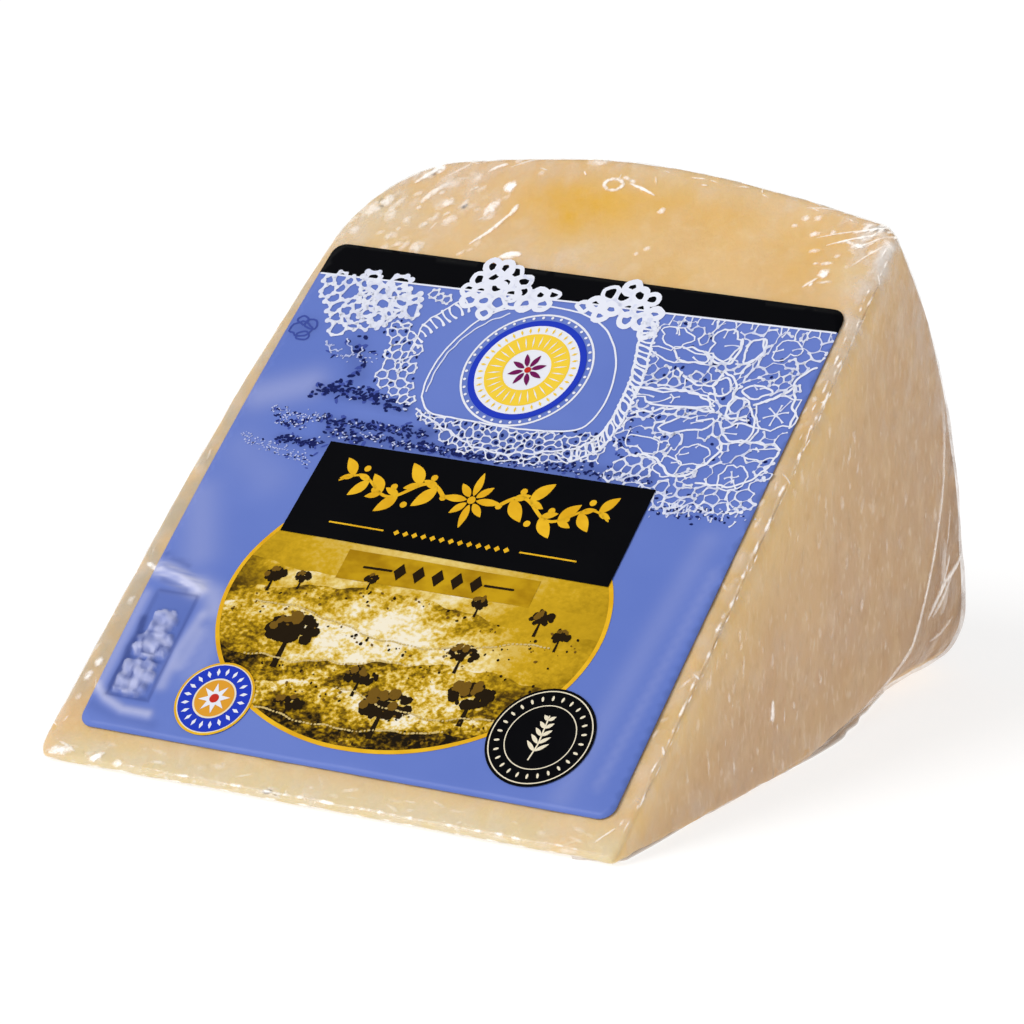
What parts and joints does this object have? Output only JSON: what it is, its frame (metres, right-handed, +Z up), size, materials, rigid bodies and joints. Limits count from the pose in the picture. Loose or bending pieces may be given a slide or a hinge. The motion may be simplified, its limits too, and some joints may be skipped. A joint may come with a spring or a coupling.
{
  "type": "shrink-wrapped hard cheese wedge",
  "caption": "Wedge of hard sheep's milk cheese in clear shrink film, lying on its lower cut face with a printed label on the upper one.",
  "frame": {"origin": "under the middle of the pack's box, on the surface it lies on", "axes": "+Z up; +X along the wheel's axis, towards the flat rind face on the right of the label; +Y from the tip edge to the rim"},
  "size_m": [0.0796, 0.0976, 0.0637],
  "materials": {
    "filmed_cheese": "waxy cream to tan hard cheese under clear shrink film",
    "film": "clear, glossy, finely wrinkled along the edges",
    "label_print": "satin gloss, mid blue with fields of black, white and gold",
    "black_print": "satin gloss black",
    "gold_print": "satin gold ink",
    "white_print": "satin white ink"
  },
  "bodies": {
    "root": {"cheese_pack": "filmed_cheese", "label": "label_print"}
  },
  "joints": []
}
